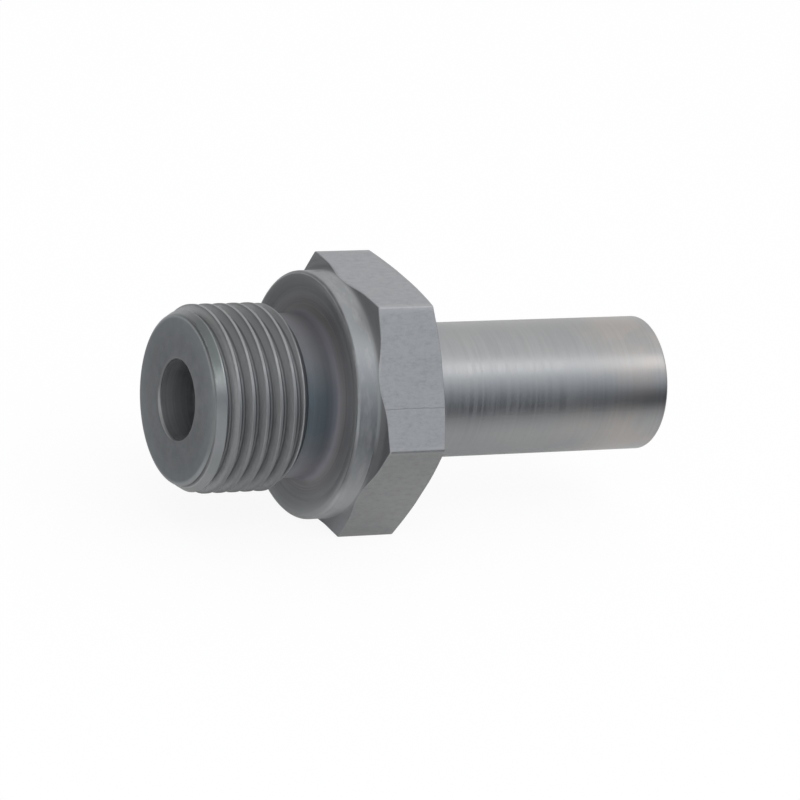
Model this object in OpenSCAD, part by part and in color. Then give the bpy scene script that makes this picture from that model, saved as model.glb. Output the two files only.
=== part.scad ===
// Screw-in fitting turned from one length of hexagonal steel bar.
// It has a male parallel pipe thread with an undercut, a collar whose face
// seals with a raised cutting edge, a spanner hexagon and a plain tube stub,
// with one bore through all of it.
// Sizes are in millimetres. The part lies along X, the thread end at minus X.
// The origin is on the axis, in the plane of the collar's sealing edge.

/* [Display] */
// Sub-part to show, or "all"

/* [Stud] */
// Outside diameter over the crests of the G3/8 A pipe thread
thread_d = 16.55; // [15.6:0.05:17.5]
// Distance from the stud's end face to the sealing edge
stud_length = 12.1; // [9:0.1:20]
// Diameter of the flat end face, just under the thread's root
lead_d = 14.8; // [12:0.1:15.4]
// Angle of the lead-in chamfer, measured from the axis
lead_angle = 30; // [20:1:50]
// Diameter of the undercut between the thread and the collar
neck_d = 14.5; // [12.5:0.1:15.4]
// Length of the undercut's plain neck in front of the sealing edge
neck_length = 2.9; // [1.5:0.1:4.5]
// Angle of the slope from the thread down to the neck, from the axis
runout_angle = 45; // [30:1:60]

/* [Sealing collar] */
// Outside diameter of the collar
collar_d = 21.9; // [21:0.05:21.9]
// Length of the collar from the sealing edge to the hexagon
collar_length = 2.6; // [1.5:0.1:5]
// Width of the flat sealing edge, its tiny outer bevel left out
edge_width = 0.5; // [0.2:0.05:0.8]
// Bevel on the outer corner of the sealing edge
edge_bevel = 0.1; // [0.04:0.02:0.3]
// Depth of the dished recess inside the sealing edge
recess_depth = 0.4; // [0.2:0.05:0.7]
// Width of the slope from the sealing edge down into the recess
recess_slope = 0.9; // [0.4:0.05:1.1]
// Fillet between the neck and the floor of the recess
neck_fillet = 1; // [0.4:0.05:1.3]

/* [Hexagon] */
// Spanner size across the flats
across_flats = 22; // [22:0.5:24]
// Length of the hexagon measured at the middle of a flat
hex_length = 5.8; // [4:0.1:14]
// Small rounding of the bar's six long corners
corner_radius = 0.3; // [0.1:0.05:1]
// Fillet between the collar and the hexagon's front face
collar_fillet = 0.4; // [0.2:0.05:0.8]
// Diameter at which the chamfer on the hexagon's rear face starts
chamfer_d = 22.2; // [19:0.1:23]
// Angle of that chamfer, measured from the rear face
chamfer_angle = 15; // [8:1:30]

/* [Tube stub] */
// Outside diameter of the plain stub
stub_d = 12; // [10:0.5:16]
// Length of the stub behind the hexagon
stub_length = 25.7; // [15:0.1:60]
// Fillet between the stub and the hexagon's rear face
stub_fillet = 0.3; // [0.1:0.05:0.8]
// Chamfer on the outer edge of the stub's end
stub_bevel = 0.2; // [0.1:0.05:0.6]

/* [Bore] */
// Diameter of the bore through the whole fitting
bore_d = 7; // [4:0.1:8]
// Chamfer at both mouths of the bore
bore_bevel = 0.2; // [0.1:0.05:0.5]

/* [Finish] */
// Colour of the bare steel
steel = "#7d8085";
// Facets around every round surface
round_facets = 120; // [48:12:144]
// Facets around the small arcs of the section
arc_facets = 48; // [24:8:64]

/* [Hidden] */
thread_r = thread_d / 2;
lead_r = lead_d / 2;
neck_r = neck_d / 2;
collar_r = collar_d / 2;
stub_r = stub_d / 2;
bore_r = bore_d / 2;
chamfer_r = chamfer_d / 2;
// Positions along the axis, from the sealing edge
front_x = -stud_length;
lead_x = front_x + (thread_r - lead_r) / tan(lead_angle);
neck_x = -neck_length;
runout_x = neck_x - (thread_r - neck_r) / tan(runout_angle);
hex_front_x = collar_length;
hex_rear_x = hex_front_x + hex_length;
rear_x = hex_rear_x + stub_length;
// Radii of the dished recess inside the sealing edge
edge_inner_r = collar_r - edge_bevel - edge_width;
floor_r = edge_inner_r - recess_slope;
// The bar's corners, and a radius safely outside them
bar_corner_r = across_flats / 2 / cos(30);
bar_reach = bar_corner_r + 1;
// How far cuts and joins run past the surfaces that they meet
overlap = 1;

// Full section of the bar with its sharp corners replaced by small arcs
module bar_section() {
    corner_centre = bar_corner_r - corner_radius / cos(30);
    corner_tip = bar_corner_r + overlap;
    difference() {
        circle(r = bar_corner_r, $fn = 6);
        for (turn = [0 : 60 : 300])
            rotate(turn)
                difference() {
                    polygon([
                        [corner_centre, 0],
                        [corner_tip, (corner_tip - corner_centre) * tan(30)],
                        [corner_tip, -(corner_tip - corner_centre) * tan(30)]
                    ]);
                    translate([corner_centre, 0])
                        circle(r = corner_radius, $fn = arc_facets);
                }
    }
}

// The hexagonal bar, standing on end and longer than the fitting
module bar() {
    translate([0, 0, front_x - overlap])
        linear_extrude(height = rear_x - front_x + 2 * overlap)
            rotate(30)
                bar_section();
}

// Material left by a round-nosed tool in the inner corner at [radius, x],
// below a shoulder when side is -1 and above one when it is 1
module inside_fillet(radius, x, size, side) {
    difference() {
        translate([radius - size / 2, side < 0 ? x - size : x - size / 2])
            square([1.5 * size, 1.5 * size]);
        translate([radius + size, x + side * size])
            circle(r = size, $fn = arc_facets);
    }
}

// Half section of the turned outside: radius across, axis up
module turned_section() {
    chamfer_drop = (bar_reach - chamfer_r) * tan(chamfer_angle);
    union() {
        polygon([
            [0, front_x],
            [lead_r, front_x],
            [thread_r, lead_x],
            [thread_r, runout_x],
            [neck_r, neck_x],
            [neck_r, recess_depth],
            [floor_r, recess_depth],
            [edge_inner_r, 0],
            [collar_r - edge_bevel, 0],
            [collar_r, edge_bevel],
            [collar_r, hex_front_x],
            [bar_reach, hex_front_x],
            [bar_reach, hex_rear_x - chamfer_drop],
            [chamfer_r, hex_rear_x],
            [stub_r, hex_rear_x],
            [stub_r, rear_x - stub_bevel],
            [stub_r - stub_bevel, rear_x],
            [0, rear_x]
        ]);
        inside_fillet(neck_r, recess_depth, neck_fillet, -1);
        inside_fillet(collar_r, hex_front_x, collar_fillet, -1);
        inside_fillet(stub_r, hex_rear_x, stub_fillet, 1);
    }
}

// The bore with a chamfer at each mouth
module bore_cut() {
    mouth_r = bore_r + bore_bevel + overlap;
    rotate_extrude($fn = round_facets)
        polygon([
            [0, front_x - overlap],
            [mouth_r, front_x - overlap],
            [bore_r, front_x + bore_bevel],
            [bore_r, rear_x - bore_bevel],
            [mouth_r, rear_x + overlap],
            [0, rear_x + overlap]
        ]);
}

// The whole fitting: bar stock, turned outside and drilled through
module fitting_body() {
    color(steel)
        rotate([0, 90, 0])
            difference() {
                intersection() {
                    bar();
                    rotate_extrude($fn = round_facets)
                        turned_section();
                }
                bore_cut();
            }
}

fitting_body();
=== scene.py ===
import math
from functools import cached_property
import bpy
import numpy as np
from mathutils import Matrix, Vector


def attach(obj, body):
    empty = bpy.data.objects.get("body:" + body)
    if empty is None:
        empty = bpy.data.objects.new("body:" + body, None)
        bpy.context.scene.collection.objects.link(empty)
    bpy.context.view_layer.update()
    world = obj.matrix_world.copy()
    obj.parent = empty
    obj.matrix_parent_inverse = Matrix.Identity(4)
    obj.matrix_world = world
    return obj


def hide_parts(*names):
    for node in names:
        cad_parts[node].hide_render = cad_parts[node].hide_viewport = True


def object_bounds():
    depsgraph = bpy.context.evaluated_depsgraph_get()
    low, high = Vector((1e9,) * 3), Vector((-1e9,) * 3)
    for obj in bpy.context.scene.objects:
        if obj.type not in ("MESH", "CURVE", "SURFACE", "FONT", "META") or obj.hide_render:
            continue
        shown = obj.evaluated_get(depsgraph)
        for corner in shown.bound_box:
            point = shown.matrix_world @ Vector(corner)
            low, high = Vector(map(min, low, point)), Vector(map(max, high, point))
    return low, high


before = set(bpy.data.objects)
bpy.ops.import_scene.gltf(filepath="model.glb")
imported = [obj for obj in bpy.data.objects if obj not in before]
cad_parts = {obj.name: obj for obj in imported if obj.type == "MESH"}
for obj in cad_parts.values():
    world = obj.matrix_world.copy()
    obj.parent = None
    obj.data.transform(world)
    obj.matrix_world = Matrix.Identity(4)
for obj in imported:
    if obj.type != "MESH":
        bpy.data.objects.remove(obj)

cad_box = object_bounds()
MM = 0.001

# The camera: angles in degrees, the rest in millimetres
CAMERA_AZIMUTH = -30.7074
CAMERA_ELEVATION = 21.8606
CAMERA_ROLL = 10.2233
CAMERA_TARGET = (7.7106, -4.0977, 1.0327)
CAMERA_DISTANCE = 508.768
CAMERA_LENS = 260.633
CAMERA_SENSOR = 36
CAMERA_CLIP = 10

# Sizes of the fitting in millimetres, as radii (_R), places along the axis (_X) and small forms.
# Its two ends and its flats are read from the frame.
FRONT_X, END_X = (round(corner[0] / MM, 3) for corner in cad_box)
FLAT = round(cad_box[1][2] / MM, 3)

# The stud: end face, lead-in cone, thread and undercut
FACE_R, FACE_ARC = 7.4, 0.35
LEAD_SLOPE = math.tan(math.radians(30))
CREST_R, FULL_CREST_R, PITCH = 8.275, 8.331, 1.337
THREAD_DEPTH = 0.640327 * PITCH
THREAD_ARC_R = 0.137329 * PITCH
ROOT_R = FULL_CREST_R - THREAD_DEPTH
FLANK = math.radians(27.5)
THREAD_ARC_HALF = THREAD_ARC_R * math.cos(FLANK)
CREST_X, CREST_ANGLE = -7.38, math.radians(149.2)
NECK_R, NECK_X, NECK_FILLET = 7.25, -2.9, 1.0

# The collar: dished face with its sealing edge at x = 0, rim, and fillet to the hexagon
DISH_X, DISH_R, EDGE_INNER_R = 0.4, 9.45, 10.35
DISH_BLEND_IN, DISH_BLEND_OUT = 0.25, 0.15
NECK_FILLET_X = DISH_X - NECK_FILLET
COLLAR_R, RIM_ARC = 10.95, 0.28
COLLAR_FILLET = 0.7
COLLAR_FILLET_R = COLLAR_R + COLLAR_FILLET

# The hexagon: corners, broken edges and rear chamfer
HEX_X, REAR_X = 2.6, 8.4
CORNER_ARC = 0.3
EDGE_BREAK, REAR_BREAK = 0.06, 0.025
CHAMFER_R, CHAMFER_SLOPE = 11.1, math.tan(math.radians(15))

# The stub and the bore, whose bevels are very slightly crowned
STUB_R, STUB_FILLET, END_ARC = 6.0, 0.3, 0.2
BORE_R, BORE_BEVEL, BEVEL_CROWN = 3.5, 0.2, 0.01
MOUTH_R = BORE_R + BORE_BEVEL

# A corner of the bar: its arc's centre and its tip from the axis, and half its angle in degrees
COS_30 = math.cos(math.radians(30))
CORNER_CENTRE = (FLAT - CORNER_ARC) / COS_30
CORNER_R = CORNER_CENTRE + CORNER_ARC
CORNER_HALF = math.degrees(math.atan2(CORNER_ARC / 2, CORNER_CENTRE + CORNER_ARC * COS_30))

# The mesh: columns on one flat, rows on a crest or root and on a flank, and rows across the flats
# and down the rear face as shares of the way
FLAT_COLUMNS = 41
ARC_ROWS, FLANK_ROWS, ARC_MARGIN = 8, 4, 1.02
FLAT_ROWS = (0, 0.02, 0.1, 0.25, 0.42, 0.58, 0.75, 0.9, 0.98, 1)
REAR_ROWS = (0, 0.05, 0.35, 0.65, 0.95, 1)
# Rows of the thread join its end rings at this distance. Rows beside the chamfer's inner circle
# lie CHAMFER_BLEND from it, and keep ROW_GAP between them where the flats are close to it.
GATHER, CHAMFER_BLEND, ROW_GAP = 0.004, 0.03, 0.02

# The kinds of surface, each with a steel of its own
BORE, FACE, THREAD, NECK, COLLAR, SHOULDER, BAR, REAR, STUB = range(9)

# Tones of the end face's rounded edge and of the lead-in cone, slightly green and slightly blue
EDGE_TONES = (0.295, 0.314, 0.318), (0.322, 0.333, 0.345)
CONE_TONES = (0.262, 0.281, 0.284), (0.285, 0.293, 0.305)
# Height at which the painted shade on the collar's rim and fillet is deepest
SHADE_Z = -2
# The range that a noise seldom leaves
NOISE_LOW, NOISE_HIGH = 0.3, 0.7

# The floor, and its shares of plain white as the camera sees it and as it shows in the metal.
# The share in the metal changes between two places along the axis.
FLOOR_HALF, FLOOR_COLOUR, FLOOR_GLOW = 2000, (0.92, 0.92, 0.92), 1.04
FLOOR_WHITE, FLOOR_WHITE_IN_METAL, FLOOR_WHITE_BY_STUD = 0.88, 0.2, 0.35
FLOOR_STUD_X, FLOOR_STUB_X = -3, 4

# Two black cards that only reflections show: one lies in front and one stands beside the stub's end
CARD_Z, CARD_COLOUR = -FLAT + 0.1, (0.11, 0.12, 0.14)
CARD_CORNERS = [(0, -7, CARD_Z), (20, -300, CARD_Z), (260, -300, CARD_Z), (200, -31, CARD_Z)]
FLAG_COLOUR = (0.02, 0.02, 0.022)
FLAG_CORNERS = [(46, -45, -8), (110, -45, -8), (110, -45, 9), (46, -45, 9)]

# The two lamps, at places that face an aim. A lamp's radiance is that of its soft face.
STRIP_LENGTH, STRIP_WIDTH, STRIP_RADIANCE = 600, 180, 0.9
STRIP_PLACE, STRIP_AIM = (120, -257, 428.5), (120, 0, 0)
SMALL_SIZE, SMALL_RADIANCE = 200, 1.4
SMALL_PLACE, SMALL_AIM = (-256, -301.2, 306.2), (0, 0, 0)

WORLD_LEVEL = 0.95
WHITE = (1.0, 1.0, 1.0)


def make_camera():
    angles = (CAMERA_AZIMUTH, CAMERA_ELEVATION, CAMERA_ROLL)
    azimuth, elevation, roll = (math.radians(angle) for angle in angles)
    level = Vector((math.cos(azimuth), math.sin(azimuth), 0))
    outward = Vector((math.sin(azimuth), -math.cos(azimuth), 0))
    back = outward * math.cos(elevation) + Vector((0, 0, math.sin(elevation)))
    right = level * math.cos(roll) + back.cross(level) * math.sin(roll)
    up = back.cross(right)
    place = (Vector(CAMERA_TARGET) + back * CAMERA_DISTANCE) * MM
    data = bpy.data.cameras.new("camera")
    data.sensor_fit = "HORIZONTAL"
    data.sensor_width = CAMERA_SENSOR
    data.lens = CAMERA_LENS
    data.clip_start = CAMERA_CLIP * MM
    camera = bpy.data.objects.new("camera", data)
    bpy.context.collection.objects.link(camera)
    camera.matrix_world = Matrix((
        (right.x, up.x, back.x, place.x),
        (right.y, up.y, back.y, place.y),
        (right.z, up.z, back.z, place.z),
        (0, 0, 0, 1),
    ))
    bpy.context.scene.camera = camera


def column_angles():
    """Angles of the mesh's columns in radians, closer together at the bar's six corners."""
    flat = np.linspace(CORNER_HALF, 60 - CORNER_HALF, FLAT_COLUMNS)
    sector = [0, CORNER_HALF / 2, *flat, 60 - CORNER_HALF / 2]
    return np.radians([60 * turn + offset for turn in range(6) for offset in sector])


ANGLES = column_angles()
COLUMNS = len(ANGLES)


def bar_radius(angles):
    """Distance from the axis to the hexagonal bar's surface."""
    off = np.abs((np.degrees(angles) + 30) % 60 - 30)
    to_flat = FLAT / np.cos(np.radians(30 - off))
    across = CORNER_CENTRE * np.sin(np.radians(off))
    to_arc = CORNER_CENTRE * np.cos(np.radians(off)) + np.sqrt(np.maximum(CORNER_ARC ** 2 - across ** 2, 0))
    return np.where(off < CORNER_HALF, to_arc, to_flat)


def thread_radius(x, angles):
    """Right-hand Whitworth form, its crests turned slightly flat, cut at both ends by cones."""
    turn = (angles - CREST_ANGLE) / (2 * math.pi)
    from_crest = np.abs((x - CREST_X - PITCH * turn + PITCH / 2) % PITCH - PITCH / 2)
    from_root = PITCH / 2 - from_crest
    crest = THREAD_ARC_R - np.sqrt(np.maximum(THREAD_ARC_R ** 2 - from_crest ** 2, 0))
    root = THREAD_DEPTH - THREAD_ARC_R + np.sqrt(np.maximum(THREAD_ARC_R ** 2 - from_root ** 2, 0))
    arc_drop = THREAD_ARC_R * (1 - math.sin(FLANK))
    flank = arc_drop + (from_crest - THREAD_ARC_HALF) / math.tan(FLANK)
    off_crest = np.where(from_root < THREAD_ARC_HALF, root, flank)
    drop = np.where(from_crest < THREAD_ARC_HALF, crest, off_crest)
    cut = np.minimum(FULL_CREST_R - drop, CREST_R)
    lead = FACE_R + (x - FRONT_X) * LEAD_SLOPE
    runout = np.maximum(NECK_R + (NECK_X - x), NECK_R)
    return np.minimum(np.minimum(cut, lead), runout)


def thread_row_offsets():
    """Places of the mesh's rows along one pitch: a crest, a flank, the root and the other flank."""
    half = THREAD_ARC_HALF * ARC_MARGIN
    stops = (-half, half, PITCH / 2 - half, PITCH / 2 + half, PITCH - half)
    counts = (ARC_ROWS, FLANK_ROWS, ARC_ROWS, FLANK_ROWS)
    return np.concatenate([
        np.linspace(start, end, count, endpoint=False)
        for start, end, count in zip(stops, stops[1:], counts)
    ])


def points_round(x, radius):
    """One point in each column, at a place along the axis and a distance from it."""
    x, radius = (np.broadcast_to(value, COLUMNS) for value in (x, radius))
    return zip(x, radius * np.cos(ANGLES), radius * np.sin(ANGLES))


def parts(steps):
    """Shares of a stretch in even steps, from the first step to the end."""
    return np.linspace(0, 1, steps + 1)[1:]


class Skin:
    """Rows of points from the bore's far mouth round the whole section and back to it."""

    def __init__(self):
        self.points = []
        self.rows = []
        self.zones = []

    def row(self, numbers, zone):
        """Adds a row of point numbers, which starts and ends in the same column."""
        self.rows.append(numbers)
        self.zones.append(zone)

    def circle(self, x, radius):
        """Adds points all the way round, and returns their numbers with the first one again."""
        first = len(self.points)
        self.points.extend(points_round(x, radius))
        return [*range(first, first + COLUMNS), first]

    def ring(self, x, radius, zone):
        self.row(self.circle(x, radius), zone)

    def line(self, start, end, steps, zone):
        """Rings on a straight line between two points (x, radius), the first one left out."""
        for part in parts(steps):
            self.ring(*(a + (b - a) * part for a, b in zip(start, end)), zone)

    def arc(self, centre, size, begin, end, steps, zone):
        """Rings on an arc about (x, radius), angles from plus X towards outward, first left out."""
        for part in parts(steps):
            turn = math.radians(begin + (end - begin) * part)
            self.ring(centre[0] + size * math.cos(turn), centre[1] + size * math.sin(turn), zone)

    def helix_row(self, x, low, high):
        """Numbers of a climbing row's points. Past either end of the thread they are the end ring's."""
        numbers = []
        x_row = x + PITCH * ANGLES / (2 * math.pi)
        for k, point in enumerate(points_round(x_row, thread_radius(x_row, ANGLES))):
            if point[0] <= low["x"] + GATHER:
                numbers.append(low["ring"][k])
            elif point[0] >= high["x"] - GATHER:
                numbers.append(high["ring"][k])
            else:
                numbers.append(len(self.points))
                self.points.append(point)
        return numbers

    def thread(self, start_x, end_x, zone):
        """Rows that climb with the thread, gathered on one ring at either end."""
        low, high = ({"x": x, "ring": self.circle(x, thread_radius(x, ANGLES))} for x in (start_x, end_x))
        crest_x = CREST_X - PITCH * CREST_ANGLE / (2 * math.pi)
        first_turn = math.floor((start_x - crest_x) / PITCH) - 1
        last_turn = math.ceil((end_x - crest_x) / PITCH)
        turns = [crest_x + PITCH * number for number in range(first_turn, last_turn + 1)]
        offsets = thread_row_offsets()
        helix = [self.helix_row(x + offset, low, high) for x in turns for offset in offsets]
        # After one turn a row meets the one that starts a pitch further on
        meets = [row[0] for row in helix[len(offsets):]] + [high["ring"][0]] * len(offsets)
        self.row(low["ring"], zone)
        for numbers, last in zip(helix, meets):
            self.row([*numbers, last], zone)
        self.row(high["ring"], zone)

    def faces(self):
        """Quads between neighbouring rows, triangles where two corners fall together."""
        for number, row in enumerate(self.rows):
            following = (number + 1) % len(self.rows)
            beyond = self.rows[following]
            for k in range(COLUMNS):
                loop = []
                for corner in (row[k], beyond[k], beyond[k + 1], row[k + 1]):
                    if corner not in loop:
                        loop.append(corner)
                if len(loop) > 2:
                    yield loop, self.zones[following]


def add_bevel(skin, x):
    """The middle of a bore's mouth bevel."""
    skin.ring(x, BORE_R + BORE_BEVEL / 2 - BEVEL_CROWN, FACE)


def add_bore(skin):
    """The bore from the stub's end to the stud's end face."""
    start, end = (END_X - BORE_BEVEL, BORE_R), (FRONT_X + BORE_BEVEL, BORE_R)
    skin.ring(*start, BORE)
    skin.line(start, end, steps=24, zone=BORE)
    add_bevel(skin, FRONT_X + BORE_BEVEL / 2)
    skin.ring(FRONT_X, MOUTH_R, FACE)


def add_stud(skin):
    """The end face, rounded softly into the lead-in cone, and the thread with its run-out."""
    arc_start = FACE_R - FACE_ARC * LEAD_SLOPE
    skin.line((FRONT_X, MOUTH_R), (FRONT_X, arc_start), steps=5, zone=FACE)
    skin.arc((FRONT_X + FACE_ARC, arc_start), FACE_ARC, 180, 120, steps=6, zone=FACE)
    skin.thread(FRONT_X + FACE_ARC / 2, NECK_X, THREAD)


def add_dish(skin):
    """The undercut, its fillet and the dished face up to the flat sealing edge."""
    fillet_r = NECK_R + NECK_FILLET
    inner, outer = DISH_R - DISH_BLEND_IN, EDGE_INNER_R + DISH_BLEND_OUT
    skin.line((NECK_X, NECK_R), (NECK_FILLET_X, NECK_R), steps=5, zone=NECK)
    skin.arc((NECK_FILLET_X, fillet_r), NECK_FILLET, -90, 0, steps=12, zone=NECK)
    skin.line((DISH_X, fillet_r), (DISH_X, inner), steps=3, zone=NECK)
    for part in parts(10):
        rise = part * part * (3 - 2 * part)
        skin.ring(DISH_X * (1 - rise), inner + (outer - inner) * part, NECK)
    skin.line((0, outer), (0, COLLAR_R - RIM_ARC), steps=2, zone=NECK)


def add_collar(skin, bar):
    """The collar, then its fillet and the hexagon's front face in even steps along their path."""
    skin.arc((RIM_ARC, COLLAR_R - RIM_ARC), RIM_ARC, 180, 90, steps=6, zone=COLLAR)
    skin.line((RIM_ARC, COLLAR_R), (HEX_X - COLLAR_FILLET, COLLAR_R), steps=5, zone=COLLAR)
    reach = bar - np.minimum(EDGE_BREAK, (bar - COLLAR_R) / 2)
    turn_end = np.arccos((COLLAR_FILLET_R - np.minimum(reach, COLLAR_FILLET_R)) / COLLAR_FILLET)
    length = COLLAR_FILLET * turn_end + np.maximum(reach - COLLAR_FILLET_R, 0)
    for part in parts(14):
        turn = np.minimum(length * part / COLLAR_FILLET, turn_end)
        past_fillet = np.maximum(length * part - COLLAR_FILLET * turn_end, 0)
        x = HEX_X - COLLAR_FILLET * (1 - np.sin(turn))
        skin.ring(x, COLLAR_FILLET_R - COLLAR_FILLET * np.cos(turn) + past_fillet, SHOULDER)


def rear_x(radius):
    """The hexagon's rear face and its chamfer, as a place along the axis."""
    return REAR_X - np.maximum(radius - CHAMFER_R, 0) * CHAMFER_SLOPE


def add_flats(skin, bar):
    """The six flats, between the broken edges at their front and rear."""
    inside = np.clip(COLLAR_FILLET_R - bar, 0, COLLAR_FILLET)
    front = HEX_X - COLLAR_FILLET + np.sqrt(COLLAR_FILLET ** 2 - inside ** 2) + EDGE_BREAK
    rear = rear_x(bar) - REAR_BREAK
    for part in FLAT_ROWS:
        skin.ring(front + (rear - front) * part, bar, BAR)


def add_rear(skin, bar):
    """The rear chamfer and the rear face."""
    outer = bar - REAR_BREAK
    cone_end = np.minimum(CHAMFER_R + CHAMFER_BLEND, outer - ROW_GAP)
    for part in np.linspace(0, 1, 7):
        radius = outer + (cone_end - outer) * part
        skin.ring(rear_x(radius), radius, REAR)
    plane_start = np.minimum(CHAMFER_R - CHAMFER_BLEND, outer - 2 * ROW_GAP)
    for part in REAR_ROWS:
        skin.ring(REAR_X, plane_start + (STUB_R + STUB_FILLET - plane_start) * part, REAR)


def add_stub(skin):
    """The fillet to the stub, the stub, its end face and the bore's mouth there."""
    start_x, end_x = REAR_X + STUB_FILLET, END_X - END_ARC
    skin.arc((start_x, STUB_R + STUB_FILLET), STUB_FILLET, 180, 270, steps=5, zone=STUB)
    skin.line((start_x, STUB_R), (end_x, STUB_R), steps=24, zone=STUB)
    skin.arc((end_x, STUB_R - END_ARC), END_ARC, 90, 0, steps=5, zone=STUB)
    skin.line((END_X, STUB_R - END_ARC), (END_X, MOUTH_R), steps=4, zone=FACE)
    add_bevel(skin, END_X - BORE_BEVEL / 2)


def fitting_skin():
    skin = Skin()
    bar = bar_radius(ANGLES)
    add_bore(skin)
    add_stud(skin)
    add_dish(skin)
    add_collar(skin, bar)
    add_flats(skin, bar)
    add_rear(skin, bar)
    add_stub(skin)
    return skin


class Nodes:
    """Short calls that add shader nodes to one tree and return their main output."""

    def __init__(self, tree, coordinates, scale):
        """Clears a tree and reads the place on the surface as x, y and z."""
        self.tree = tree
        tree.nodes.clear()
        self.x, self.y, self.z = (self.times(value, scale) for value in self.split(coordinates))

    def add(self, kind, *values, **settings):
        """A new node with these settings, and these values for its first sockets."""
        node = self.tree.nodes.new(kind)
        for name, value in settings.items():
            setattr(node, name, value)
        for socket, value in zip(node.inputs, values):
            self.fill(socket, value)
        return node

    def fill(self, socket, value):
        """Joins a socket to another one, or sets its own value. None leaves it as it is."""
        if isinstance(value, bpy.types.NodeSocket):
            self.tree.links.new(value, socket)
        elif value is not None:
            socket.default_value = (*value, 1) if socket.type == "RGBA" else value

    def split(self, coordinates):
        source = self.add("ShaderNodeTexCoord").outputs[coordinates]
        return self.add("ShaderNodeSeparateXYZ", source).outputs[:]

    def math(self, operation, a, b=None):
        return self.add("ShaderNodeMath", a, b, operation=operation).outputs[0]

    def times(self, a, b):
        return self.math("MULTIPLY", a, b)

    def plus(self, a, b):
        return self.math("ADD", a, b)

    def off(self, a, b):
        """How far two values lie apart."""
        return self.math("ABSOLUTE", self.math("SUBTRACT", a, b))

    @cached_property
    def radius(self):
        """Distance from the X axis."""
        return self.math("SQRT", self.plus(self.times(self.y, self.y), self.times(self.z, self.z)))

    @cached_property
    def place(self):
        return self.vector(self.x, self.y, self.z)

    def towards(self, x, y, z):
        """How far the place lies along a direction."""
        return self.plus(self.plus(self.times(self.x, x), self.times(self.y, y)), self.times(self.z, z))

    def vector(self, x, y, z):
        return self.add("ShaderNodeCombineXYZ", x, y, z).outputs[0]

    def stretched(self, measure, quick, slow):
        """A place for noise that changes quickly along one measure and slowly in y and z."""
        return self.vector(self.times(measure, quick), self.times(self.y, slow), self.times(self.z, slow))

    def noise(self, vector, scale=1.0, detail=3, roughness=0.55):
        return self.add("ShaderNodeTexNoise", vector, None, scale, detail, roughness).outputs[0]

    def ring_noise(self, measure, scale, detail, roughness):
        """Noise along one measure only, the same all the way round the axis."""
        values = (None, measure, scale, detail, roughness)
        return self.add("ShaderNodeTexNoise", *values, noise_dimensions="1D").outputs[0]

    def tool_rings(self, measure, per_mm, around):
        """Fine lines left by a turning tool: quick along one measure, slow around the axis."""
        return self.noise(self.stretched(measure, per_mm, around), detail=4, roughness=0.6)

    def blotches(self, scale):
        """Slow patches that drift between two tones, from 0 to 1."""
        return self.sway(self.noise(self.place, scale), 0, 1)

    def spread(self, value, low, high, at_low, at_high):
        """A value that goes from at_low to at_high while another goes from low to high."""
        return self.add("ShaderNodeMapRange", value, low, high, at_low, at_high).outputs[0]

    def sway(self, noise, at_low, at_high):
        """A value that follows a noise over its usual range."""
        return self.spread(noise, NOISE_LOW, NOISE_HIGH, at_low, at_high)

    def mix(self, share, first, second, blend="MIX"):
        """A share of the second colour over the first one."""
        node = self.add("ShaderNodeMix", share, data_type="RGBA", blend_type=blend)
        colours = [socket for socket in node.inputs if socket.type == "RGBA"]
        self.fill(colours[0], first)
        self.fill(colours[1], second)
        return node.outputs[2]

    def tone(self, colour, factor):
        """A colour times a number or another colour."""
        return self.mix(1.0, colour, factor, "MULTIPLY")

    def mix_value(self, share, first, second):
        return self.add("ShaderNodeMix", share, None, first, second, data_type="FLOAT").outputs[0]

    def ramp(self, value, stops):
        """A colour from stops, each with its position from 0 to 1."""
        node = self.add("ShaderNodeValToRGB", value)
        elements = node.color_ramp.elements
        while len(elements) < len(stops):
            elements.new(0.5)
        for element, (position, colour) in zip(elements, stops):
            element.position = position
            element.color = (*colour, 1)
        return node.outputs[0]

    def steel(self, colour, roughness, relief, depth, anisotropic=0.0, metallic=1.0):
        """The finished metal, with a fine relief whose depth is in millimetres."""
        bump = self.add("ShaderNodeBump")
        shader = self.add("ShaderNodeBsdfPrincipled")
        values = {
            "Metallic": metallic, "Base Color": colour, "Roughness": roughness,
            "Normal": bump.outputs[0], "Anisotropic": anisotropic,
        }
        if anisotropic:
            tangent = self.add("ShaderNodeTangent", direction_type="RADIAL", axis="X")
            values["Tangent"] = tangent.outputs[0]
        for name, value in values.items():
            self.fill(shader.inputs[name], value)
        for name, value in (("Strength", 1), ("Distance", depth * MM), ("Height", relief)):
            self.fill(bump.inputs[name], value)
        self.finish(shader.outputs[0])

    def diffuse(self, colour):
        return self.add("ShaderNodeBsdfDiffuse", colour).outputs[0]

    def blend(self, share, first, second):
        """A share of the second shader over the first one."""
        return self.add("ShaderNodeMixShader", share, first, second).outputs[0]

    def finish(self, shader):
        self.add("ShaderNodeOutputMaterial", shader)


def material(name):
    """A new material and its nodes, which measure in millimetres."""
    made = bpy.data.materials.new(name)
    made.use_nodes = True
    return made, Nodes(made.node_tree, "Object", 1 / MM)


def bored_steel():
    """The bore, with broad tool rings and painted shade just inside the stud's mouth."""
    made, n = material("bored_steel")
    rings = n.tool_rings(n.x, 2.6, 0.04)
    colour = n.mix(n.blotches(0.5), (0.45, 0.46, 0.475), (0.55, 0.56, 0.575))
    colour = n.mix(n.spread(rings, 0.38, 0.62, 0, 0.7), colour, (0.7, 0.71, 0.73))
    # Painted shade just inside the stud's mouth
    mouth_shade = n.spread(n.x, FRONT_X + 0.15, FRONT_X + 0.7, 0.35, 0)
    colour = n.mix(mouth_shade, colour, (0.15, 0.155, 0.16))
    n.steel(colour, n.sway(rings, 0.42, 0.54), rings, 0.008)
    return made


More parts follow.
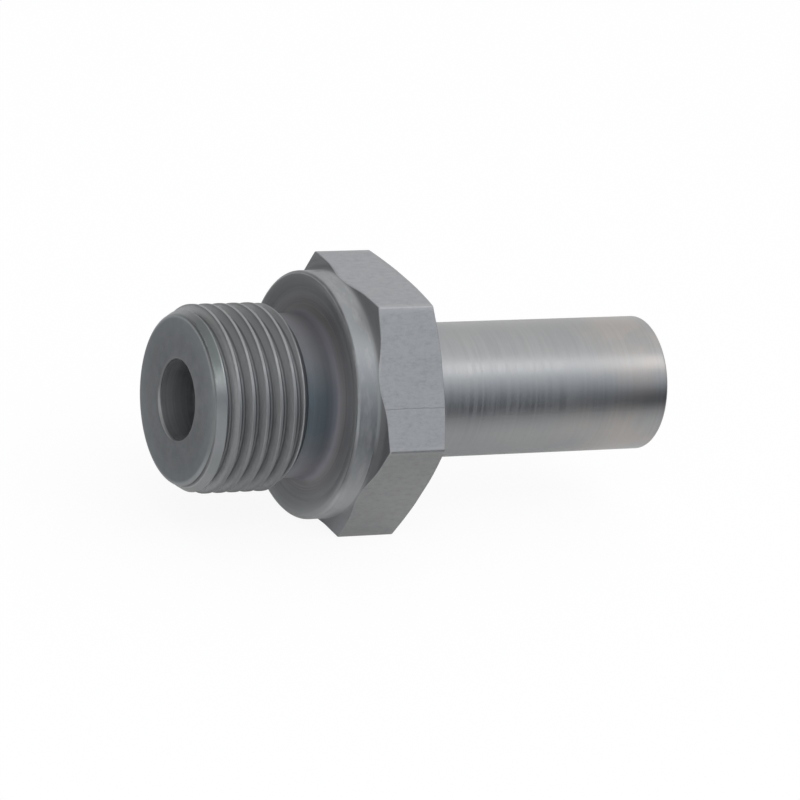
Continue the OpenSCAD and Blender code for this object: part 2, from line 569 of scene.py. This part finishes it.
def end_face_steel():
    """The two end faces, rougher in soft patches and lighter towards their rims, with painted light on the
    rounded edge and a painted glint at the bore's mouth.
    """
    made, n = material("end_face_steel")
    rings = n.tool_rings(n.radius, 6, 0.1)
    patches = n.blotches(0.25)
    cloud = n.noise(n.place, 0.9, 4, 0.65)
    # Dark base tones: partly a rough turned face, partly painted shade for the darker surroundings on this
    # side
    colour = n.mix(patches, (0.13, 0.137, 0.144), (0.164, 0.169, 0.175))
    colour = n.mix(n.spread(cloud, 0.4, 0.6, 0, 0.6), colour, (0.19, 0.191, 0.198))
    colour = n.mix(n.spread(rings, 0.35, 0.7, 0, 0.4), colour, (0.19, 0.195, 0.2))
    outer = n.spread(n.radius, FACE_R - 2, FACE_R - 0.3, 0, 0.45)
    colour = n.mix(outer, colour, (0.24, 0.25, 0.258))
    colour = n.tone(colour, (0.92, 0.95, 0.965))
    # Painted light on the rounded edge: brightest above and a little brighter again below
    edge_painted_light = n.plus(n.spread(n.z, 3, 4.5, 0.72, 1.1), n.spread(n.z, -4, -1.5, 0.32, 0))
    edge = n.tone(n.mix(patches, *EDGE_TONES), edge_painted_light)
    colour = n.mix(n.spread(n.radius, FACE_R - 0.3, FACE_R - 0.06, 0, 1), colour, edge)
    # The bore's mouth, with a painted glint on the lower side away from the camera
    painted_glint = n.spread(n.towards(0, 0.64, -0.77), 2.4, 3.5, 0, 1)
    mouth = n.mix(painted_glint, (0.2, 0.205, 0.21), (0.47, 0.475, 0.48))
    colour = n.mix(n.spread(n.radius, MOUTH_R - 0.04, MOUTH_R + 0.05, 0.9, 0), colour, mouth)
    rough = n.spread(n.radius, FACE_R - 0.4, FACE_R + 0.1, n.spread(patches, 0, 1, 0.44, 0.52), 0.36)
    n.steel(colour, rough, rings, 0.004, anisotropic=0.3)
    return made


def faced_steel():
    """The hexagon's rear face."""
    made, n = material("faced_steel")
    rings = n.tool_rings(n.radius, 5, 0.1)
    patches = n.blotches(0.25)
    colour = n.mix(patches, (0.17, 0.176, 0.184), (0.2, 0.205, 0.21))
    colour = n.mix(n.spread(rings, 0.35, 0.7, 0, 0.4), colour, (0.24, 0.245, 0.25))
    n.steel(colour, n.spread(patches, 0, 1, 0.44, 0.54), rings, 0.004, anisotropic=0.3)
    return made


def flank_tones(n, patches):
    """The thread's flanks in painted light and shade: painted shade at the root, and the flank that faces
    the end painted brighter.
    """
    root_shade = (0.2, 0.204, 0.21)
    ahead = n.spread(n.split("Normal")[0], -0.8, -0.2, 1, 0)
    # Painted light up the flank that faces the end, over painted shade at its root
    front = n.ramp(n.spread(n.radius, ROOT_R - 0.075, CREST_R - 0.075, 0, 1), [
        (0.1, root_shade),
        (0.22, (0.3, 0.304, 0.31)),
        (0.32, (0.52, 0.526, 0.53)),
        (0.8, (0.45, 0.458, 0.462)),
    ])
    behind = n.mix(patches, (0.33, 0.34, 0.345), (0.37, 0.378, 0.382))
    behind = n.mix(n.spread(n.radius, ROOT_R + 0.075, CREST_R - 0.275, 0, 1), root_shade, behind)
    return n.mix(ahead, behind, front)


def cone_tones(n, patches):
    """The lead-in cone, cut after the thread and slightly tinted, with a painted highlight on its upper
    near side and painted light below.
    """
    # A painted highlight, brighter and greener, high on the side towards the camera
    painted_highlight = n.times(n.spread(n.z, 3.8, 5.4, 0, 1), n.spread(n.y, -3.5, -0.5, 1, 0))
    cone = n.mix(painted_highlight, n.mix(patches, *CONE_TONES), (0.35, 0.385, 0.385))
    # Painted light: lighter towards the bottom
    return n.mix(n.spread(n.z, -5, -2.5, 0.7, 0), cone, (0.355, 0.358, 0.36))


def threaded_steel():
    """The thread, with crests darkened as painted shade and painted light that makes it lighter higher up,
    and the lead-in cone.
    """
    made, n = material("threaded_steel")
    grain = n.noise(n.stretched(n.x, 5, 1.5))
    patches = n.blotches(0.35)
    # Darker crests: painted shade
    crest = n.mix(patches, (0.29, 0.295, 0.3), (0.33, 0.334, 0.34))
    on_crest = n.spread(n.radius, CREST_R - 0.225, CREST_R - 0.035, 0, 1)
    # Painted light: the thread lighter higher up and darker lower down
    thread = n.tone(n.mix(on_crest, flank_tones(n, patches), crest), n.spread(n.z, -7, 7, 0.84, 1.18))
    cone_r = n.plus(n.times(n.x, LEAD_SLOPE), FACE_R - FRONT_X * LEAD_SLOPE)
    on_cone = n.spread(n.math("SUBTRACT", cone_r, n.radius), 0.01, 0.05, 1, 0)
    colour = n.mix(on_cone, thread, cone_tones(n, patches))
    rough = n.mix_value(on_cone, n.sway(grain, 0.46, 0.6), n.sway(grain, 0.3, 0.38))
    n.steel(colour, rough, grain, 0.006)
    return made


def undercut_tint(n, drift):
    """Dull tints from the undercut's root outwards, and a dark blue band across the groove's near side,
    partly a blue tint and partly painted shade.
    """
    outwards = n.plus(n.radius, n.sway(drift, -0.1, 0.1))
    tint = n.ramp(n.spread(outwards, 7, 11, 0, 1), [
        (0.08, (0.252, 0.243, 0.287)),
        (0.17, (0.198, 0.197, 0.197)),
        (0.3, (0.182, 0.176, 0.19)),
        (0.5, (0.19, 0.198, 0.208)),
        (0.75, (0.218, 0.231, 0.238)),
        (1.0, (0.24, 0.252, 0.257)),
    ])
    # A dark blue band at mid height in the groove: partly a blue tint, partly painted shade
    from_dark_band = n.off(n.z, n.sway(drift, 1, 2))
    groove = n.mix(n.spread(from_dark_band, 1.5, 6, 1, 0), (0.21, 0.206, 0.222), (0.108, 0.136, 0.157))
    past_root = n.spread(n.radius, NECK_R + 0.01, NECK_R + 0.17, 0, 1)
    near_fillet = n.spread(n.x, NECK_FILLET_X - 0.5, NECK_FILLET_X + 0.1, 0, 0.4)
    return n.mix(n.math("MAXIMUM", past_root, near_fillet), groove, tint)


def undercut_painted_light(n):
    """Painted light and shade: darker above and behind, lighter below, and a painted glint along the dish's
    low edge.
    """
    in_groove, in_dish = n.spread(n.z, -6, -2, 1.5, 1), n.spread(n.z, -7, 8, 1.35, 0.85)
    by_height = n.mix_value(n.spread(n.radius, NECK_R + 0.35, NECK_R + 0.95, 0, 1), in_groove, in_dish)
    behind_thread = n.spread(n.x, NECK_X + 0.1, NECK_FILLET_X - 0.6, 1.15, 0.97)
    across_dish = n.spread(n.y, -6, 1, 1.25, 0.82)
    high_dish = n.times(n.spread(n.z, 0, 3, 0, 1), n.spread(n.radius, NECK_R + 0.25, NECK_R + 0.65, 0, 1))
    upper = n.mix_value(high_dish, behind_thread, across_dish)
    # A painted glint along the dish's low sealing edge
    by_edge = n.spread(n.radius, EDGE_INNER_R - 1.05, EDGE_INNER_R + 0.05, 0, 0.4)
    low_edge_painted_light = n.times(by_edge, n.spread(n.z, -5, -2, 1, 0))
    return n.times(n.times(by_height, upper), n.plus(1.0, low_edge_painted_light))


def undercut_steel():
    """The undercut and the dish, tinted and marked by the tool, under painted light and shade."""
    made, n = material("undercut_steel")
    rings = n.noise(n.vector(n.times(n.radius, 5), n.times(n.x, 4), n.times(n.y, 0.08)), 1, 4, 0.65)
    drift = n.noise(n.place, 0.13, 2)
    outside_root = n.spread(n.radius, NECK_R + 0.25, NECK_R + 0.85, 0.1, 0.6)
    marked = n.times(n.spread(rings, 0.42, 0.62, 0, 1), outside_root)
    colour = n.mix(marked, undercut_tint(n, drift), (0.27, 0.272, 0.277))
    # Painted light and shade over the tints
    colour = n.tone(colour, undercut_painted_light(n))
    n.steel(colour, n.sway(drift, 0.5, 0.58), rings, 0.005, metallic=0.3)
    return made


def turned_steel():
    """The collar's rim and cylinder, smeared by handling, with painted light below and painted shade on the
    rim.
    """
    made, n = material("turned_steel")
    rings = n.tool_rings(n.x, 5, 0.3)
    smears = n.noise(n.stretched(n.x, 1.6, 0.5), detail=4, roughness=0.65)
    colour = n.mix(n.blotches(0.4), (0.365, 0.375, 0.383), (0.43, 0.435, 0.44))
    colour = n.mix(n.spread(smears, 0.4, 0.62, 0, 0.7), (0.34, 0.353, 0.365), colour)
    colour = n.mix(n.spread(smears, 0.5, 0.68, 0, 0.5), colour, (0.5, 0.5, 0.505))
    # Painted light: lighter towards the bottom
    colour = n.mix(n.spread(n.z, -5, -2.5, 0.4, 0), colour, (0.6, 0.6, 0.59))
    # Painted shade on the rim, deepest just below mid height
    rim_shade = n.spread(n.off(n.z, SHADE_Z), 1.5, 3.5, 0.85, 0)
    colour = n.mix(n.spread(n.x, 0.1, 0.3, rim_shade, 0), colour, (0.19, 0.196, 0.2))
    n.steel(colour, n.sway(smears, 0.45, 0.6), rings, 0.003)
    return made


def shoulder_steel():
    """The hexagon's front corners and the fillet up to them, darkened partly by a duller cut and partly by
    painted shade, with painted light and shade by height.
    """
    made, n = material("shoulder_steel")
    rings = n.tool_rings(n.radius, 5, 0.2)
    patches = n.blotches(0.4)
    fillet = n.mix(patches, (0.3, 0.312, 0.32), (0.34, 0.348, 0.355))
    # Painted shade on the fillet, deepest just below mid height
    fillet = n.mix(n.spread(n.off(n.z, SHADE_Z), 1, 3, 1, 0), fillet, (0.16, 0.166, 0.172))
    # Dark corner tones: partly a duller cut, partly painted shade
    corner = n.mix(patches, (0.19, 0.198, 0.207), (0.22, 0.227, 0.233))
    to_tip = n.spread(n.radius, COLLAR_R + 0.25, COLLAR_R + 0.75, 0, 1)
    corner = n.mix(to_tip, (0.17, 0.176, 0.182), corner)
    # Painted light and shade on the corners: lighter below, darker beside, lighter again above
    below = n.spread(n.z, -9.5, -3, 1.75, 0.75)
    above = n.spread(n.z, 1, 8, 0, n.spread(n.y, -5, 4, 0.5, 0.25))
    corner = n.tone(corner, n.plus(below, above))
    colour = n.mix(n.spread(n.radius, COLLAR_R + 0.002, COLLAR_R + 0.09, 0, 1), fillet, corner)
    n.steel(colour, n.sway(rings, 0.46, 0.56), rings, 0.004, metallic=0.4)
    return made


def on_flat(n, y, z):
    """1 on the flat that faces a direction, and 0 elsewhere."""
    return n.math("GREATER_THAN", n.towards(0, y, z), FLAT - 0.1)


def drawing_mark(n):
    """One long fine mark along the flat that faces the camera."""
    wander = n.noise(n.stretched(n.x, 1, 0), 0.5)
    from_mark = n.off(n.towards(0, -0.5, -COS_30), n.spread(wander, 0, 1, 2.45, 2.7))
    return n.times(n.spread(from_mark, 0.02, 0.09, 1, 0), on_flat(n, -COS_30, 0.5))


def drawn_steel():
    """The bar's six flats as the drawing die leaves them, with painted light on the top flat and painted
    shade on the low front one.
    """
    made, n = material("drawn_steel")
    grain = n.noise(n.stretched(n.x, 2.2, 4.5), detail=6, roughness=0.8)
    cloud = n.noise(n.stretched(n.x, 0.6, 1), 1.9, 4, 0.7)
    colour = n.mix(n.spread(cloud, 0.35, 0.65, 0, 1), (0.355, 0.36, 0.377), (0.425, 0.429, 0.44))
    colour = n.mix(n.spread(grain, 0.42, 0.6, 0, 0.8), colour, (0.46, 0.464, 0.475))
    # Corners worn brighter
    worn = n.plus(n.radius, n.sway(grain, -0.06, 0.06))
    colour = n.mix(n.spread(worn, CORNER_R - 0.235, CORNER_R - 0.075, 0, 0.2), colour, (0.6, 0.6, 0.6))
    # Painted light: the top flat a little lighter, and painted shade on the low front one, which is also a
    # little warmer
    colour = n.mix(on_flat(n, 0, 1), colour, n.tone(colour, (1.05, 1.05, 1.06)))
    colour = n.mix(on_flat(n, -COS_30, -0.5), colour, n.tone(colour, (0.93, 0.92, 0.89)))
    mark = drawing_mark(n)
    colour = n.mix(n.times(mark, 0.35), colour, (0.2, 0.2, 0.21))
    relief = n.math("SUBTRACT", grain, n.times(mark, 0.4))
    n.steel(colour, n.sway(grain, 0.46, 0.6), relief, 0.012)
    return made


def polished_steel():
    """The stub, with short flecks in rings round it that fade where its end is polished."""
    made, n = material("polished_steel")
    from_end = n.math("SUBTRACT", END_X, n.x)
    rings = n.ring_noise(n.x, 2.4, 3, 0.7)
    flecks = n.noise(n.stretched(n.x, 2, 0.2), detail=2)
    fine = n.plus(n.times(rings, 0.6), n.times(flecks, 0.4))
    patches = n.blotches(0.22)
    colour = n.mix(patches, (0.357, 0.363, 0.372), (0.391, 0.393, 0.389))
    warm = n.times(n.spread(from_end, 3.1, 12.1, 0.7, 0), n.spread(patches, 0.3, 0.65, 0.2, 1))
    colour = n.mix(warm, colour, (0.455, 0.41, 0.38))
    colour = n.mix(n.spread(fine, 0.42, 0.6, 0, 0.28), colour, (0.48, 0.482, 0.485))
    swing = n.times(n.spread(fine, 0.42, 0.58, -1, 1), n.spread(from_end, 3.1, 14.1, 0.008, 0.046))
    rough = n.plus(n.spread(from_end, 2.1, 6.1, 0.294, 0.34), swing)
    n.steel(colour, rough, fine, 0.0009, anisotropic=0.3)
    return made


STEELS = {
    BORE: bored_steel, FACE: end_face_steel, THREAD: threaded_steel, NECK: undercut_steel,
    COLLAR: turned_steel, SHOULDER: shoulder_steel, BAR: drawn_steel, REAR: faced_steel,
    STUB: polished_steel,
}


def add_mesh(name, points, faces):
    """A mesh object from points in millimetres."""
    mesh = bpy.data.meshes.new(name)
    mesh.from_pydata([tuple(value * MM for value in point) for point in points], [], faces)
    piece = bpy.data.objects.new(name, mesh)
    bpy.context.collection.objects.link(piece)
    return piece


def weigh_normals(mesh):
    """Normals weighted by face area, so that the flats stay flat beside their broken edges."""
    normals = np.zeros((len(mesh.vertices), 3))
    for polygon in mesh.polygons:
        normals[list(polygon.vertices)] += np.array(polygon.normal) * polygon.area
    normals /= np.linalg.norm(normals, axis=1)[:, None]
    mesh.normals_split_custom_set_from_vertices(normals.tolist())


def build_fitting():
    skin = fitting_skin()
    faces, zones = zip(*skin.faces())
    piece = add_mesh("fitting_steel", skin.points, faces)
    mesh = piece.data
    mesh.validate()
    # A zone's number is the place of its steel among the mesh's materials
    for zone in sorted(STEELS):
        mesh.materials.append(STEELS[zone]())
    mesh.polygons.foreach_set("material_index", zones)
    mesh.polygons.foreach_set("use_smooth", [True] * len(mesh.polygons))
    weigh_normals(mesh)
    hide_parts("fitting_body")
    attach(piece, "root")


def build_floor():
    """A plain pale floor, white to the camera and darker in the metal's reflections."""
    half = FLOOR_HALF
    corners = [(-half, -half, 0), (half, -half, 0), (half, half, 0), (-half, half, 0)]
    floor = add_mesh("floor", corners, [(0, 1, 2, 3)])
    floor.location.z = -FLAT * MM
    made, n = material("floor_paint")
    path = n.add("ShaderNodeLightPath").outputs
    in_metal = n.math("MAXIMUM", path["Is Glossy Ray"], path["Is Transmission Ray"])
    by_camera = n.times(path["Is Camera Ray"], FLOOR_WHITE)
    share = n.spread(n.x, FLOOR_STUD_X, FLOOR_STUB_X, FLOOR_WHITE_BY_STUD, FLOOR_WHITE_IN_METAL)
    white = n.math("MAXIMUM", by_camera, n.times(in_metal, share))
    glow = n.add("ShaderNodeEmission", None, FLOOR_GLOW).outputs[0]
    n.finish(n.blend(white, n.diffuse(FLOOR_COLOUR), glow))
    floor.data.materials.append(made)


def build_card(name, paint, colour, corners, direction, clear, full):
    """A card that only reflections show. Along a direction it thickens from clear gauze to full."""
    card = add_mesh(name, corners, [(0, 1, 2, 3)])
    for rays in ("camera", "diffuse", "transmission", "volume_scatter", "shadow"):
        setattr(card, "visible_" + rays, False)
    made, n = material(paint)
    thickness = n.spread(n.towards(*direction), clear, full, 0, 1)
    gauze = n.add("ShaderNodeBsdfTransparent").outputs[0]
    n.finish(n.blend(thickness, gauze, n.diffuse(colour)))
    card.data.materials.append(made)


def build_cards():
    # The dark line along the metal
    build_card("dark_card", "black_card", CARD_COLOUR, CARD_CORNERS, (-0.12, -1, 0), 8, 42)
    # The darker stretch of that line towards the stub's end
    build_card("end_flag", "black_flag", FLAG_COLOUR, FLAG_CORNERS, (1, 0, 0), 46, 64)


def build_world():
    """A white background, and light from all round that is even but for a few soft changes."""
    world = bpy.data.worlds.new("studio")
    world.use_nodes = True
    bpy.context.scene.world = world
    n = Nodes(world.node_tree, "Generated", 1)
    # A darker, bluer stretch low on the camera's right
    dark_side = n.spread(n.towards(0.474, -0.88, 0), 0.35, 0.95, 0, 1)
    low = n.spread(n.z, 0, 0.6, 1, 0)
    level = n.math("SUBTRACT", WORLD_LEVEL, n.times(n.times(dark_side, low), 0.82))
    tint = n.mix(n.times(dark_side, n.spread(low, 0, 1, 0.4, 1)), WHITE, (0.86, 0.97, 1.12))
    # Dimmer above the stud's end, brighter low down beside it and dimmer behind
    upper_left = n.times(n.spread(n.x, -0.6, 0.2, 1, 0), n.spread(n.z, 0.05, 0.4, 0, 1))
    low_left = n.times(n.spread(n.x, -0.9, -0.2, 1, 0), n.spread(n.z, 0.05, 0.25, 1, 0))
    back_left = n.times(n.spread(n.x, -0.6, 0, 1, 0), n.spread(n.y, 0, 0.5, 0, 1))
    level = n.times(level, n.spread(upper_left, 0, 1, 1, 0.25))
    level = n.plus(level, n.times(low_left, 0.35))
    level = n.times(level, n.spread(back_left, 0, 1, 1, 0.4))
    # A little dimmer at the back
    level = n.times(level, n.spread(n.y, 0.2, 0.7, 1, 0.88))
    seen = n.add("ShaderNodeLightPath").outputs["Is Camera Ray"]
    background = n.add("ShaderNodeBackground", n.mix(seen, tint, WHITE), n.mix_value(seen, level, 1.0))
    n.add("ShaderNodeOutputWorld", background.outputs[0])


def build_lamp(name, place, aim, radiance, area, **form):
    """A soft lamp, its place and aim in millimetres, its area in square metres."""
    data = bpy.data.lights.new(name, "AREA")
    for setting, value in form.items():
        setattr(data, setting, value)
    data.energy = radiance * math.pi * area
    lamp = bpy.data.objects.new(name, data)
    lamp.location = Vector(place) * MM
    lamp.rotation_euler = (Vector(place) - Vector(aim)).to_track_quat("Z", "Y").to_euler()
    bpy.context.collection.objects.link(lamp)


def build_lamps():
    # A long soft box above the front of the fitting, along its axis
    length, width = STRIP_LENGTH * MM, STRIP_WIDTH * MM
    form = {"shape": "RECTANGLE", "size": length, "size_y": width}
    build_lamp("strip_light", STRIP_PLACE, STRIP_AIM, STRIP_RADIANCE, length * width, **form)
    # A small lamp above the camera that gives the lead-in cone its highlight
    size = SMALL_SIZE * MM
    area = math.pi * size ** 2 / 4
    build_lamp("small_light", SMALL_PLACE, SMALL_AIM, SMALL_RADIANCE, area, shape="DISK", size=size)


make_camera()
build_fitting()
build_floor()
build_cards()
build_world()
build_lamps()

bpy.context.scene.view_settings.view_transform = "Standard"
